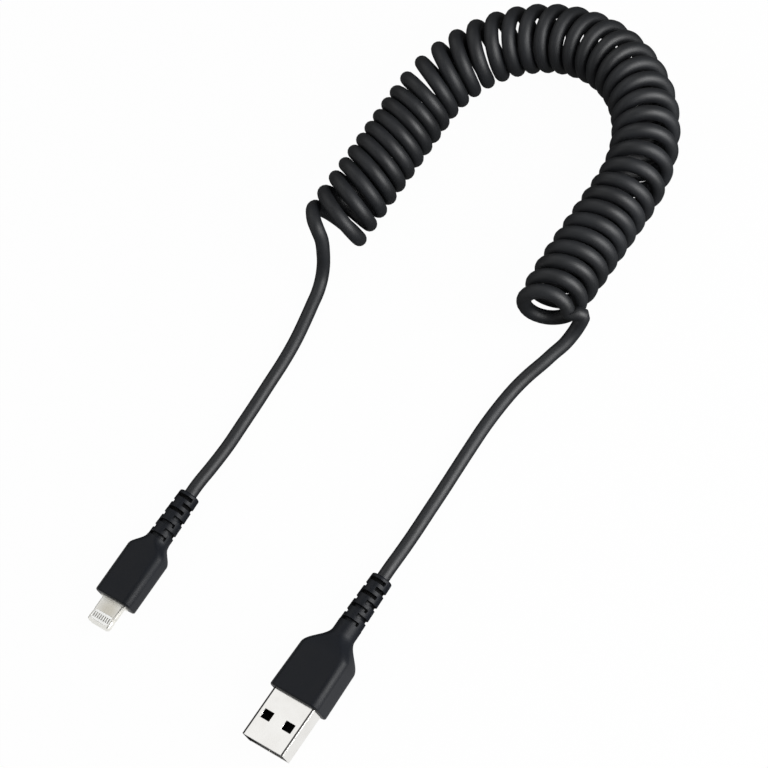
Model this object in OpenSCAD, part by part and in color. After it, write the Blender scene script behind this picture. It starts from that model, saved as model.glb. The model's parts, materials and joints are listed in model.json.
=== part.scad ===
// Charging cable: a curly cord between a flat four-contact plug (type A) and a slim
// eight-contact plug (the tip). Millimetres, +Z up, and the cable lies on the plane z = 0.
// The origin lies on that plane, below the middle of the box round the two plugs.
// Both plugs point along -Y, the cord leaves them along +Y, and its curls stand in an arch.

/* [Cord] */
// Diameter of the cord's jacket
cord_d = 3; // [2.7:0.05:3]
// Radius of a curl, on the cord's centreline
curl_r = 6.4; // [6:0.05:6.4]
// Curls on the tip plug's side of the arch
tip_side_curls = 9.5; // [8.5:1:9.5]
// Curls in the arch
arch_curls = 21.2; // [19.2:1:21.2]
// Curls on the type A plug's side of the arch
type_a_side_curls = 8.3; // [7.3:1:8.3]
// Distance between curls on the tip plug's side of the arch
tip_side_pitch = 3.56; // [3.56:0.01:3.62]
// Distance between curls on the type A plug's side of the arch
type_a_side_pitch = 3.8; // [3.79:0.01:3.8]

/* [Arch] */
// Middle of the curls along X on the tip plug's side
arch_tip_x = -35.5; // [-36.5:0.1:-35.5]
// Radius of the arch, on the middle of the curls
arch_r = 29.8; // [29.2:0.1:29.8]
// Start of the arch along Y
arch_start_y = 125.8; // [125.8:0.1:127]
// Lean of the curls where the arch starts, in degrees about the Z axis
arch_start_lean = -8; // [-8:1:-2]
// Lean of the curls where the arch ends, in degrees about the Z axis
arch_end_lean = 18; // [17.9:0.1:18.4]
// Tilt of the curls where the arch ends, in degrees, their tops back towards its start
arch_end_tilt = 6; // [-4:1:6]

/* [Loose end curls] */
// Further lean of the last curl on the tip plug's side, in degrees
tip_end_lean = -12; // [-12:1:-5]
// Further tilt of the last curl on the tip plug's side, in degrees
tip_end_tilt = 18; // [9:1:22]
// Distance that the tip plug's end of the curls is drawn out
tip_end_spread = 2.7; // [2.2:0.1:3.7]
// Distance that the last curl on the tip plug's side is wider, on its radius
tip_end_widening = 0.4; // [0:0.05:0.6]
// Further lean of the last curl on the type A plug's side, in degrees
type_a_end_lean = 8.5; // [8.5:0.5:9.5]
// Further tilt of the last curl on the type A plug's side, in degrees
type_a_end_tilt = 9; // [1:1:9]
// Distance that the type A plug's end of the curls is drawn out
type_a_end_spread = 1.3; // [0.7:0.1:1.4]
// Distance that the last curl on the type A plug's side is narrower, on its radius
type_a_end_narrowing = 0.65; // [0.35:0.05:1.2]

/* [Type A plug, shell] */
// Middle of the plug along X
type_a_x = 26.7; // [24:0.1:30]
// Front of the plug's overmould along Y
type_a_front_y = -10.5; // [-14:0.1:-8]
// Width of the shell
shell_w = 12; // [10.8:0.1:13]
// Thickness of the shell
shell_t = 4.5; // [4.1:0.1:4.9]
// Wall of the shell
shell_wall = 0.3; // [0.2:0.01:0.4]
// Outer corner radius of the shell
shell_corner_r = 0.65; // [0.5:0.05:0.8]
// Length of the shell in front of the overmould
shell_reach = 12.3; // [11:0.1:13.5]
// Length of the shell inside the overmould
shell_root = 6.4; // [5.5:0.1:7]
// Width of a latch window
window_w = 2.6; // [2.2:0.1:2.8]
// Length of a latch window
window_l = 2.2; // [2:0.1:2.4]
// Distance between the middles of the two windows of one face
window_spacing = 6.2; // [5.8:0.1:6.6]
// Distance from the shell's mouth to a window
window_setback = 5.05; // [4.8:0.05:5.3]
// Width of the shell's seam, on its underside
seam_w = 0.12; // [0.08:0.01:0.2]

/* [Type A plug, contacts] */
// Gap between the contact carrier and the shell's sides
carrier_side_gap = 0.05; // [0.03:0.01:0.2]
// Thickness of the contact carrier in the mouth
carrier_t = 1.95; // [1.8:0.05:2]
// Distance from the shell's mouth to the carrier
carrier_setback = 0.4; // [0.2:0.1:0.8]
// Depth of the open mouth, down to the carrier's full-height back
mouth_depth = 9; // [8:0.1:10]
// Width of a contact
contact_w = 1; // [0.8:0.05:1.1]
// Thickness of a contact
contact_t = 0.3; // [0.25:0.01:0.35]
// Distance from the plug's middle to the two outer contacts
outer_contact_x = 3.5; // [3.4:0.1:3.6]
// Distance from the plug's middle to the two inner contacts
inner_contact_x = 1; // [0.9:0.1:1.1]
// Distance from the carrier's front to the two outer contacts
outer_contact_setback = 0.7; // [0.5:0.1:1]
// Distance from the carrier's front to the two inner contacts
inner_contact_setback = 1.7; // [1.5:0.1:2]
// Length of a contact's solder tail behind the carrier
solder_tail = 1.8; // [1.4:0.1:2.2]

/* [Type A plug, overmould] */
// Width of the overmould at its front
type_a_front_w = 14; // [13.4:0.1:15.4]
// Width of the overmould at its shoulder
type_a_back_w = 13.4; // [12.8:0.1:14.7]
// Thickness of the overmould
type_a_t = 7.8; // [7:0.1:8.6]
// Radius of the overmould's long edges
type_a_edge_r = 2; // [1.6:0.1:2.4]
// Length of the overmould, front to cord exit
type_a_length = 33.3; // [31:0.1:36]
// Distance from the front to the start of the shoulder
type_a_shoulder_start = 11.5; // [10.5:0.1:12.5]
// Length of the neck between the shoulder and the strain relief
type_a_neck = 2.5; // [1.5:0.1:3]
// Width of the block moulded round the solder tails
type_a_block_w = 11; // [10:0.1:12]
// Thickness of the block moulded round the solder tails
type_a_block_t = 5.2; // [5:0.1:5.4]
// Length of the block moulded round the solder tails
type_a_block_l = 5.6; // [5.2:0.1:5.8]

/* [Tip plug, metal frame] */
// Middle of the plug along X
tip_x = -28.7; // [-32:0.1:-26]
// Front of the plug's overmould along Y
tip_front_y = -11.3; // [-14:0.1:-8]
// Width of the tip's frame
frame_w = 6.7; // [6.2:0.05:7.2]
// Thickness of the tip's frame
frame_t = 1.5; // [1.4:0.05:1.65]
// Length of the frame in front of the overmould
frame_reach = 6.7; // [6.1:0.1:7.3]
// Length of the frame inside the overmould
frame_root = 4.4; // [4:0.1:4.8]
// Radius of the frame's front corners, seen from above
frame_corner_r = 1.3; // [1:0.1:1.6]
// Radius of the frame's long edges
frame_edge_r = 0.6; // [0.4:0.05:0.7]
// Radius of the two latch notches
notch_r = 0.6; // [0.5:0.05:0.7]
// Distance from the frame's front to the middle of a latch notch
notch_setback = 2.7; // [2.4:0.1:3]
// Width of the frame's rail beside the moulded insert
frame_rail = 0.7; // [0.6:0.05:0.8]
// Step from the frame's sides out to the collar's sides
collar_side_step = 0.5; // [0.4:0.05:0.7]
// Step from the frame's faces out to the collar's faces
collar_face_step = 0.4; // [0.3:0.05:0.5]
// Length of the collar
collar_l = 0.35; // [0.25:0.05:0.5]

/* [Tip plug, contacts] */
// Contacts on each face
tip_contact_count = 8; // [4:1:8]
// Distance from the insert's sides to the outer contacts
tip_contact_margin = 0.295; // [0.24:0.005:0.4]
// Width of a contact
tip_contact_w = 0.3; // [0.26:0.01:0.38]
// Length of a contact
tip_contact_l = 1.2; // [1:0.05:1.4]
// Length of the moulded insert
insert_l = 2.4; // [2.2:0.05:2.5]
// Corner radius of the moulded insert
insert_corner_r = 0.7; // [0.5:0.05:0.9]
// Distance from the frame's front to the insert
insert_setback = 0.75; // [0.65:0.05:0.9]
// Wall of the moulded insert beside the circuit board
insert_wall = 0.3; // [0.25:0.05:0.4]
// Gap between the circuit board and the shield can's sides
board_side_gap = 0.4; // [0.2:0.1:0.8]
// Thickness of the circuit board
board_t = 0.6; // [0.5:0.05:0.7]
// Length of the circuit board behind the frame
board_back_l = 4.6; // [4.4:0.1:4.8]

/* [Tip plug, overmould] */
// Width of the overmould
tip_w = 10.6; // [9.6:0.1:11.6]
// Thickness of the overmould
tip_t = 5.8; // [5.7:0.1:6.4]
// Radius of the overmould's long edges
tip_edge_r = 2; // [1.6:0.1:2.4]
// Length of the overmould, front to cord exit
tip_length = 29.9; // [29:0.1:32]
// Distance from the front to the start of the shoulder
tip_shoulder_start = 12.8; // [12:0.1:13.5]
// Length of the neck between the shoulder and the strain relief
tip_neck = 0.1; // [0.1:0.1:1]
// Width of the folded shield can
can_w = 7.8; // [7.6:0.1:8]
// Thickness of the folded shield can
can_t = 3.6; // [3.4:0.1:3.7]
// Wall of the folded shield can
can_wall = 0.2; // [0.15:0.01:0.25]
// Width of the block moulded round the wires
tip_block_w = 7.2; // [6.8:0.1:7.4]
// Thickness of the block moulded round the wires
tip_block_t = 3.6; // [3.4:0.1:3.7]
// Length of the block moulded round the wires
tip_block_l = 2.9; // [2.6:0.1:3]

/* [Strain reliefs] */
// Diameter of a strain relief at the neck
relief_neck_d = 5.7; // [5.5:0.05:5.7]
// Diameter of a strain relief at the cord exit
relief_exit_d = 5.1; // [5:0.05:5.4]
// Levels of slots; top and bottom slots alternate with side slots
slot_levels = 7; // [5:1:7]
// Distance between slot levels
slot_spacing = 1.8; // [1.7:0.01:1.9]
// Width of a slot
slot_w = 0.85; // [0.6:0.05:0.9]
// Distance from the last slot's middle to the cord exit
last_slot_setback = 1.35; // [1.2:0.05:1.6]
// Wall between a slot's floor and the jacket
slot_skin = 0.25; // [0.2:0.05:0.5]
// Angle from the middle of a top or bottom slot to its end, in degrees
top_slot_angle = 60; // [50:1:65]
// Angle from the middle of a side slot to its end, in degrees
side_slot_angle = 60; // [45:1:65]

/* [Wires and crimps] */
// Diameter of a wire
wire_d = 0.75; // [0.6:0.05:0.8]
// Distance between the wires' middles where they enter the jacket
wire_spacing = 0.9; // [0.85:0.01:0.95]
// Outer diameter of a crimp ring
crimp_d = 4.3; // [4.1:0.1:4.4]
// Length of a crimp ring
crimp_l = 2.6; // [2.4:0.1:3]

/* [Clearances] */
// Clearance between nested pieces, on each side
fit = 0.03; // [0.02:0.01:0.05]

/* [Hidden] */

// Overlap of a cutter past the surface that it cuts
over = 1;
// Facets of the round pieces
round_steps = 48;
// Points on a quarter of a moulding's cross-section, less one
corner_steps = 5;
// Sections along a moulding's shoulder
shoulder_steps = 8;
// Rounding of a moulding's front edge and of a strain relief's end
end_round = 0.45;
// Step from a moulding's neck down to its strain relief
neck_step = 0.05;
// Length that a strain relief starts inside its moulding's neck
neck_lap = 0.3;
// Distance from the neck's end to the first slot
neck_margin = 0.15;
// Rings in one curl, and sides of the curled cord
curl_rings = 8;
curl_sides = 6;
// Powers of the share of a side: its curls lean early, and only the last of them come loose
lean_power = 2;
loose_power = 6;
// Sides of the cord's straight stretches
tail_sides = 8;

cord_r = cord_d / 2;
wire_r = wire_d / 2;
crimp_r = crimp_d / 2;
carrier_w = shell_w - 2 * shell_wall - 2 * carrier_side_gap;
collar_w = frame_w + 2 * collar_side_step;
collar_t = frame_t + 2 * collar_face_step;
insert_w = frame_w - 2 * frame_rail;
board_w = insert_w - 2 * insert_wall;
board_back_w = can_w - 2 * can_wall - 2 * board_side_gap;
tip_contact_pitch =
    (insert_w - 2 * tip_contact_margin - tip_contact_w) / (tip_contact_count - 1);
carrier_front = carrier_setback - shell_reach;
carrier_bottom = shell_wall - shell_t / 2 + fit;
contact_top = carrier_bottom + carrier_t;
type_a_block_front = shell_root + fit;
type_a_block_back = type_a_block_front + type_a_block_l;
contact_back = shell_root + solder_tail;
board_back_front = frame_root + fit;
board_back_end = board_back_front + board_back_l;
can_end = board_back_end + can_wall;
tip_block_front = can_end + fit;
tip_block_back = tip_block_front + tip_block_l;
insert_y = insert_setback + insert_l / 2 - frame_reach;
chip_t = 0.55;
chip_size = [2.6, 2.2];
capacitor_size = [1, 0.5, 0.4];
capacitor_spacing = 1.5;
pad_length = 1.2;
wire_straight = 0.8;

// Height of a plug's middle over the surface that it lies on, and end of its moulding's neck
function plug_height(t) = max(t, relief_neck_d + 2 * neck_step) / 2;
function neck_end(length) =
    length - last_slot_setback - (slot_levels - 1) * slot_spacing - slot_w / 2 - neck_margin;

// The route of the cord between the tip plug and the curls, then between the curls and the
// type A plug. Each list runs away from its plug; its first two points lie on the plug's axis.
tip_exit = [tip_x, tip_front_y + tip_length, plug_height(tip_t)];
type_a_exit = [type_a_x, type_a_front_y + type_a_length, plug_height(type_a_t)];
tip_tail_route = concat([tip_exit, tip_exit + [0, cord_d, 0]], [
    [-28.6, 27, 2.4], [-28.8, 33, 1.7], [-29.1, 39, 1.5], [-29.3, 45, 1.5], [-29.6, 51, 1.5],
    [-29.9, 57, 1.5], [-30.6, 63, 1.5], [-31.9, 69.4, 1.5], [-32.6, 72.4, 1.5]]);
type_a_tail_route = concat([type_a_exit, type_a_exit + [0, cord_d, 0]], [
    [26.4, 31, 3.2], [25.9, 36.5, 2.4], [25.4, 42, 1.8], [25.1, 47.5, 1.5], [24.9, 53, 1.5],
    [24.7, 59, 1.5], [24.6, 65, 1.5], [24.9, 71, 1.5], [25.5, 76, 1.5], [26.4, 80, 1.5],
    [27.8, 84.4, 1.5], [28.6, 87.3, 1.5]]);
// The route from each tail into the curls: up, over and down on the tip plug's side, and down
// to the table on the type A plug's side.
curls_in_route = [[-32.6, 72.4, 1.5], [-33.3, 75.4, 1.5], [-34, 78.4, 2.3], [-34.2, 80.9, 4.6],
    [-34, 82.7, 8], [-34.3, 84.3, 10.9], [-35.2, 85.4, 13.5], [-37.1, 86.9, 14.2],
    [-39.4, 89.1, 13.4], [-41.1, 90.8, 11]];
curls_out_route = [[31.8, 96.9, 5.9], [30.9, 95, 3.2], [30.1, 92.6, 1.9], [29.5, 90.1, 1.5],
    [28.6, 87.3, 1.5]];

// ---- Functions -------------------------------------------------------------------------------

function unit(v) = v / norm(v);
function mix(a, b, share) = a + (b - a) * share;
function clamp(value, low, high) = min(max(value, low), high);
function ease(share) = share * share * (3 - 2 * share);

// The curls are counted in t from the start of the arch: below 0 on the tip plug's side, and past
// arch_curls on the type A plug's side. Share of the arch that lies behind after t curls:
function arch_share(t) = ease(clamp(t / arch_curls, 0, 1));

// Value that grows from nothing beside the arch to its full size at each end of the curls.
function at_ends(t, tip_value, type_a_value, power) =
    tip_value * pow(max(-t, 0) / tip_side_curls, power)
    + type_a_value * pow(max(t - arch_curls, 0) / type_a_side_curls, power);

// Distance along the middle of the curls.
function curl_advance(t) =
    (t < 0 ? tip_side_pitch * t :
     t <= arch_curls ? PI * arch_r * t / arch_curls :
     PI * arch_r + type_a_side_pitch * (t - arch_curls))
    + at_ends(t, -tip_end_spread, type_a_end_spread, loose_power);

// Lean and tilt of a curl's plane, in degrees, and its radius.
function curl_lean(t) =
    mix(arch_start_lean, arch_end_lean, arch_share(t))
    + at_ends(t, tip_end_lean, type_a_end_lean, lean_power);
function curl_tilt(t) =
    arch_end_tilt * arch_share(t) + at_ends(t, tip_end_tilt, type_a_end_tilt, loose_power);
function curl_radius(t) =
    curl_r + at_ends(t, tip_end_widening, -type_a_end_narrowing, loose_power);

// Heading and point of the arch at a distance along it: straight, half a circle, straight.
function arch_angle(s) = clamp(s / arch_r * 180 / PI, 0, 180);
function arch_point(s) =
    let (angle = arch_angle(s), straight = min(s, 0) - max(s - PI * arch_r, 0))
    [arch_tip_x + arch_r * (1 - cos(angle)), arch_start_y + arch_r * sin(angle) + straight];

// Point of the cord's centreline after t curls.
function curl_point(t) =
    let (s = curl_advance(t),
         angle = arch_angle(s),
         heading = angle - curl_lean(t),
         middle = arch_point(s),
         turn = 360 * (t + tip_side_curls) + 90,
         side = curl_radius(t) * sin(turn),
         rise = curl_radius(t) * cos(turn),
         shift = -rise * tan(curl_tilt(t)))
    [middle.x - side * cos(heading) + shift * sin(angle),
     middle.y + side * sin(heading) + shift * cos(angle),
     cord_r + curl_radius(t) + rise];

curl_count = tip_side_curls + arch_curls + type_a_side_curls;
curls = [for (i = [0:round(curl_count * curl_rings)]) curl_point(i / curl_rings - tip_side_curls)];
curly_route = concat(curls_in_route, curls, curls_out_route);

// Directions of a route at its points.
function directions(route) =
    [for (i = [0:len(route) - 1]) unit(route[min(i + 1, len(route) - 1)] - route[max(i - 1, 0)])];

// A normal at each point of a route, carried along it without twist.
function upright(direction) = unit([0, 0, 1] - direction.z * direction);
function square_to(normal, direction) = unit(normal - (normal * direction) * direction);
function carried_normals(along) =
    [for (i = 0, normal = upright(along[0]); i < len(along);
          i = i + 1, normal = i < len(along) ? square_to(normal, along[i]) : normal) normal];

// Rings of points round a route.
function ring(middle, direction, normal, r, sides) =
    let (side = cross(direction, normal))
    [for (k = [0:sides - 1]) middle + r * (cos(360 * k / sides) * normal + sin(360 * k / sides) * side)];
function tube_rings(route, r, sides) =
    let (along = directions(route), normals = carried_normals(along))
    [for (i = [0:len(route) - 1]) ring(route[i], along[i], normals[i], r, sides)];

// Least distance from a point to a stretch between two points.
function reach_to(point, a, b) =
    let (share = clamp((point - a) * (b - a) / ((b - a) * (b - a)), 0, 1))
    norm(point - mix(a, b, share));

// Least gap between the curly cord and its own later turns, on its points and midpoints. The
// search skips the nearest rings and ends after the next turn and a half.
function least_gap(route) =
    min([for (i = [0:len(route) - 5], j = [i + 3:min(i + ceil(1.5 * curl_rings), len(route) - 2)])
         min(reach_to(route[i], route[j], route[j + 1]),
             reach_to((route[i] + route[i + 1]) / 2, route[j], route[j + 1]))]) - cord_d;

function route_length(route) =
    let (steps = [for (i = [1:len(route) - 1]) norm(route[i] - route[i - 1])])
    steps * [for (step = steps) 1];

echo(least_gap_of_the_curly_cord = least_gap(curly_route));
echo(cord_length = route_length(tip_tail_route) + route_length(curly_route)
     + route_length(type_a_tail_route));

// Cross-section of a moulding at y: a rectangle with quarter-round corners.
function section(y, half_w, half_t, corner) =
    let (r = min(corner, half_w - fit, half_t - fit))
    [for (quarter = [0:3], k = [0:corner_steps])
        let (angle = 90 * (quarter + k / corner_steps),
             right = quarter == 0 || quarter == 3 ? 1 : -1,
             top = quarter < 2 ? 1 : -1)
        [right * (half_w - r) + r * cos(angle), y, -top * (half_t - r) - r * sin(angle)]];

// Sections of a moulding: a rounded front edge, a body that narrows from front to shoulder, and
// a shoulder that eases into the round neck.
function moulding_sections(front_w, back_w, t, edge_r, shoulder_start, neck, length) =
    let (neck_r = relief_neck_d / 2 + neck_step,
         shoulder_end = neck_end(length) - neck)
    concat(
        [for (angle = [0:30:90])
            let (inset = end_round * (1 - sin(angle)))
            section(end_round * (1 - cos(angle)), front_w / 2 - inset, t / 2 - inset,
                    edge_r - inset)],
        [for (i = [0:shoulder_steps])
            let (share = i / shoulder_steps, eased = ease(share))
            section(mix(shoulder_start, shoulder_end, share), mix(back_w / 2, neck_r, eased),
                    mix(t / 2, neck_r, eased), mix(edge_r, neck_r, eased))],
        [section(neck_end(length), neck_r, neck_r, neck_r)]);

// ---- Shared shapes ---------------------------------------------------------------------------

// Closed solid through a list of rings that have the same number of points.
module skin(rings) {
    sides = len(rings[0]);
    last = (len(rings) - 1) * sides;
    polyhedron(
        points = [for (one = rings) each one],
        faces = concat(
            [for (k = [1:sides - 2]) [0, k, k + 1]],
            [for (i = [0:len(rings) - 2], k = [0:sides - 1])
                let (a = i * sides + k, b = i * sides + (k + 1) % sides)
                each [[a, a + sides, b], [b, a + sides, b + sides]]],
            [for (k = [1:sides - 2]) [last, last + k + 1, last + k]]));
}

// Rectangle with round corners, drawn flat.
module round_rectangle(w, l, r) {
    square([w - 2 * r, l], center = true);
    square([w, l - 2 * r], center = true);
    for (x = [-1, 1], y = [-1, 1])
        translate([x * (w / 2 - r), y * (l / 2 - r)]) circle(r, $fn = round_steps);
}

// Bar along Y with a round-cornered cross-section, from y = front to y = back.
module bar(w, t, r, front, back) {
    translate([0, back, 0]) rotate([90, 0, 0]) linear_extrude(back - front) round_rectangle(w, t, r);
}

// Block from y = front to y = back, round the Y axis.
module block(w, t, front, back) {
    translate([-w / 2, front, -t / 2]) cube([w, back - front, t]);
}

// Rod along Y from y = front to y = back.
module rod(r, front, back) {
    translate([0, front, 0]) rotate([-90, 0, 0]) cylinder(h = back - front, r = r, $fn = round_steps);
}

// Strain relief from y = front to y = back, without its slots.
module relief_cone(front, back) {
    neck_r = relief_neck_d / 2;
    exit_r = relief_exit_d / 2;
    translate([0, front, 0]) rotate([-90, 0, 0]) rotate_extrude($fn = round_steps)
        polygon([[0, 0], [neck_r, 0], [exit_r, back - front - end_round],
                 [exit_r - end_round, back - front], [0, back - front]]);
}

// Wedges on both sides of the Z axis, from -angle to angle about the X axis, drawn flat.
module double_wedge(angle, r) {
    polygon([[-r, -r * tan(angle)], [0, 0], [-r, r * tan(angle)]]);
    polygon([[r, -r * tan(angle)], [r, r * tan(angle)], [0, 0]]);
}

// Cutters of the slots: top and bottom slots on even levels, side slots on odd ones.
module relief_slots(exit_y) {
    cut_r = relief_neck_d / 2 + over;
    for (level = [0:slot_levels - 1])
        translate([0, exit_y - last_slot_setback - level * slot_spacing - slot_w / 2, 0])
            rotate([-90, level % 2 == 0 ? 90 : 0, 0]) difference() {
                intersection() {
                    cylinder(h = slot_w, r = cut_r, $fn = round_steps);
                    linear_extrude(slot_w)
                        double_wedge(level % 2 == 0 ? top_slot_angle : side_slot_angle, 2 * cut_r);
                }
                translate([0, 0, -over])
                    cylinder(h = slot_w + 2 * over, r = cord_r + slot_skin, $fn = round_steps);
            }
}

// Overmould with its strain relief; its children are the hollows for what it holds.
module overmould(front_w, back_w, t, edge_r, shoulder_start, neck, length) {
    difference() {
        union() {
            skin(moulding_sections(front_w, back_w, t, edge_r, shoulder_start, neck, length));
            relief_cone(neck_end(length) - neck_lap, length);
        }
        relief_slots(length);
        rod(cord_r + fit, shoulder_start, length + over);
        children();
    }
}

// Frame of one plug: its overmould's front face is at y = 0 and the cord's middle at z = 0.
module in_type_a_plug() { translate([type_a_x, type_a_front_y, plug_height(type_a_t)]) children(); }
module in_tip_plug() { translate([tip_x, tip_front_y, plug_height(tip_t)]) children(); }

// Wire from its solder joint to its place in the jacket's end, with r as its radius.
module wire(joint, seat, r) {
    skin(tube_rings([joint, joint + [0, wire_straight, 0], seat - [0, wire_straight, 0], seat],
                    r, tail_sides));
}

// Places of the four wires in the jacket's end: two over two.
function wire_seat(index, y) =
    [(index % 2 - 0.5) * wire_spacing, y, (floor(index / 2) - 0.5) * wire_spacing];

// ---- Type A plug -----------------------------------------------------------------------------

// Contacts in the order power, data minus, data plus, ground.
type_a_contact_x = [outer_contact_x, inner_contact_x, -inner_contact_x, -outer_contact_x];
type_a_contact_setback =
    [outer_contact_setback, inner_contact_setback, inner_contact_setback, outer_contact_setback];
// Seats in the jacket, so that the wires don't cross
type_a_wire_seats = [1, 3, 2, 0];

module shell_hollow(front, back) {
    bar(shell_w - 2 * shell_wall, shell_t - 2 * shell_wall, shell_corner_r - shell_wall, front, back);
}

module type_a_shell() {
    color([0.86, 0.86, 0.85]) in_type_a_plug() difference() {
        bar(shell_w, shell_t, shell_corner_r, -shell_reach, shell_root);
        shell_hollow(-shell_reach - over, shell_root + over);
        for (x = [-1, 1])
            translate([x * window_spacing / 2 - window_w / 2, window_setback - shell_reach, -shell_t])
                cube([window_w, window_l, 2 * shell_t]);
        translate([-seam_w / 2, -shell_reach - over, -shell_t])
            cube([seam_w, shell_reach + shell_root + 2 * over, shell_t]);
    }
}

// Bar of one contact, widened by gap on every side.
module contact_bar(index, gap) {
    front = carrier_front + type_a_contact_setback[index] - gap;
    translate([type_a_contact_x[index] - contact_w / 2 - gap, front, contact_top - contact_t - gap])
        cube([contact_w + 2 * gap, contact_back + gap - front, contact_t + 2 * gap]);
}

module type_a_contact(index) {
    color([0.85, 0.68, 0.32]) in_type_a_plug() contact_bar(index, 0);
}

module type_a_contact_carrier() {
    back_t = shell_t - 2 * shell_wall - 2 * fit;
    color([0.06, 0.06, 0.07]) in_type_a_plug() difference() {
        union() {
            translate([-carrier_w / 2, carrier_front, carrier_bottom])
                cube([carrier_w, shell_root - carrier_front, carrier_t]);
            block(carrier_w, back_t, mouth_depth - shell_reach, shell_root);
        }
        for (index = [0:3]) contact_bar(index, fit);
        // Open channels over the contacts in the mouth
        for (x = type_a_contact_x)
            translate([x - contact_w / 2 - fit, carrier_front - over, contact_top - fit])
                cube([contact_w + 2 * fit, mouth_depth - carrier_setback, over]);
    }
}

function type_a_wire_joint(index) =
    [type_a_contact_x[index], contact_back, contact_top - contact_t / 2];

module type_a_wire_shape(index, r) {
    wire(type_a_wire_joint(index), wire_seat(type_a_wire_seats[index], type_a_block_back), r);
}

module type_a_power_wire() { color([0.7, 0.1, 0.08]) in_type_a_plug() type_a_wire_shape(0, wire_r); }
module type_a_data_minus_wire() { color([0.9, 0.9, 0.88]) in_type_a_plug() type_a_wire_shape(1, wire_r); }
module type_a_data_plus_wire() { color([0.1, 0.5, 0.2]) in_type_a_plug() type_a_wire_shape(2, wire_r); }
module type_a_ground_wire() { color([0.08, 0.08, 0.08]) in_type_a_plug() type_a_wire_shape(3, wire_r); }

module type_a_inner_block() {
    color([0.82, 0.82, 0.8]) in_type_a_plug() difference() {
        block(type_a_block_w, type_a_block_t, type_a_block_front, type_a_block_back);
        for (index = [0:3]) {
            contact_bar(index, fit);
            type_a_wire_shape(index, wire_r + fit);
        }
    }
}

module crimp_ring(front) {
    difference() {
        rod(crimp_r, front, front + crimp_l);
        rod(cord_r + fit, front - over, front + crimp_l + over);
    }
}

module type_a_crimp() { color([0.75, 0.75, 0.74]) in_type_a_plug() crimp_ring(type_a_block_back + fit); }

module type_a_jacket_end() {
    color([0.1, 0.11, 0.12]) in_type_a_plug() rod(cord_r, type_a_block_back, type_a_length);
}

module type_a_overmould() {
    color([0.11, 0.12, 0.13]) in_type_a_plug()
        overmould(type_a_front_w, type_a_back_w, type_a_t, type_a_edge_r, type_a_shoulder_start,
                  type_a_neck, type_a_length) {
            bar(shell_w + 2 * fit, shell_t + 2 * fit, shell_corner_r + fit, -over, type_a_block_front);
            block(type_a_block_w + 2 * fit, type_a_block_t + 2 * fit, shell_root,
                  type_a_block_back + fit);
            rod(crimp_r + fit, shell_root, type_a_block_back + crimp_l + 2 * fit);
        }
}

// ---- Tip plug --------------------------------------------------------------------------------

module insert_shape(gap, half_height) {
    translate([0, insert_y, -half_height]) linear_extrude(2 * half_height)
        round_rectangle(insert_w + 2 * gap, insert_l + 2 * gap, insert_corner_r + gap);
}

module tip_frame() {
    color([0.8, 0.79, 0.77]) in_tip_plug() difference() {
        union() {
            intersection() {
                bar(frame_w, frame_t, frame_edge_r, -frame_reach, frame_root);
                translate([0, (frame_root + over - frame_reach) / 2, -frame_t])
                    linear_extrude(2 * frame_t)
                        round_rectangle(frame_w, frame_reach + frame_root + over, frame_corner_r);
            }
            bar(collar_w, collar_t, frame_edge_r, -collar_l, frame_root / 2);
        }
        insert_shape(fit, frame_t);
        block(board_w + 2 * fit, board_t + 2 * fit, insert_y, frame_root + over);
        for (side = [-1, 1])
            translate([side * (frame_w / 2 + notch_r / 3), notch_setback - frame_reach, -frame_t])
                cylinder(h = 2 * frame_t, r = notch_r, $fn = round_steps);
    }
}

// Contacts of one face; side is 1 on top and -1 below.
module tip_contact_row(side, gap) {
    for (index = [0:tip_contact_count - 1]) {
        x = (index - (tip_contact_count - 1) / 2) * tip_contact_pitch;
        height = (frame_t - board_t) / 2;
        translate([x - tip_contact_w / 2 - gap, insert_y - tip_contact_l / 2 - gap,
                   side > 0 ? board_t / 2 - gap : -board_t / 2 - height - gap])
            cube([tip_contact_w + 2 * gap, tip_contact_l + 2 * gap, height + 2 * gap]);
    }
}

module tip_top_contacts() { color([0.25, 0.22, 0.18]) in_tip_plug() tip_contact_row(1, 0); }
module tip_bottom_contacts() { color([0.25, 0.22, 0.18]) in_tip_plug() tip_contact_row(-1, 0); }

module tip_insert() {
    color([0.93, 0.93, 0.92]) in_tip_plug() difference() {
        insert_shape(0, frame_t / 2);
        block(board_w + 2 * fit, board_t + 2 * fit, insert_y - tip_contact_l / 2 - fit,
              insert_y + insert_l);
        tip_contact_row(1, fit);
        tip_contact_row(-1, fit);
    }
}

module tip_circuit_board() {
    color([0.07, 0.3, 0.16]) in_tip_plug() union() {
        block(board_w, board_t, insert_y - tip_contact_l / 2, board_back_front + over);
        block(board_back_w, board_t, board_back_front, board_back_end);
    }
}

module tip_control_chip() {
    color([0.05, 0.05, 0.05]) in_tip_plug()
        translate([-chip_size.x / 2, board_back_front + can_wall, board_t / 2])
            cube([chip_size.x, chip_size.y, chip_t]);
}

module tip_capacitors() {
    color([0.55, 0.42, 0.28]) in_tip_plug() for (index = [-1:1])
        translate([index * capacitor_spacing - capacitor_size.x / 2, board_back_front + can_wall,
                   -board_t / 2 - capacitor_size.z])
            cube(capacitor_size);
}

module tip_shield_can() {
    color([0.75, 0.75, 0.74]) in_tip_plug() difference() {
        block(can_w, can_t, board_back_front, can_end);
        block(can_w - 2 * can_wall, can_t - 2 * can_wall, board_back_front - over, can_end + over);
    }
}

// Power and ground are soldered on top of the board, the two data wires below it.
function tip_wire_joint(index) =
    [(index % 2 == 0 ? 1 : -1) * wire_spacing, board_back_end - pad_length,
     (index < 2 ? 1 : -1) * (board_t / 2 + wire_r)];
// Seats in the jacket, so that the wires don't cross
tip_wire_seats = [3, 2, 1, 0];

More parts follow.
